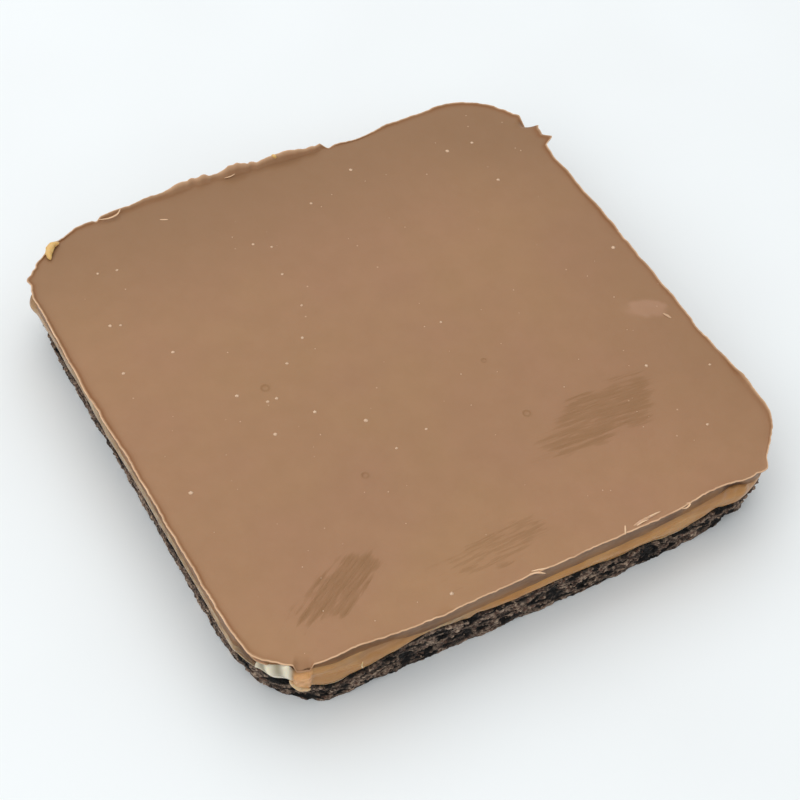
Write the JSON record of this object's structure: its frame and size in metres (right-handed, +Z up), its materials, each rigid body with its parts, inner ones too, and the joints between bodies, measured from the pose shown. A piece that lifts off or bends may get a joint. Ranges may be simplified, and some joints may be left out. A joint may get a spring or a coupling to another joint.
{
  "type": "caramel brownie slab",
  "caption": "Square, round-cornered traybake slab: crumbly brownie foot, set caramel layer and a level milk chocolate top with a ragged thin rim.",
  "frame": {"origin": "middle of the slab's flat underside, at table height", "axes": "+Z up out of the chocolate top; -Y is the long side with the thickest show of caramel, and X and Y run along the slab's sides"},
  "size_m": [0.1537, 0.1521, 0.0242],
  "materials": {
    "brownie": "dark, crumbly, slightly moist crumb",
    "caramel": "smooth, glossy set caramel",
    "chocolate": "satin milk chocolate with faint bloom"
  },
  "bodies": {
    "root": {"brownie_base": "brownie", "caramel_layer": "caramel", "chocolate_top": "chocolate"}
  },
  "joints": []
}
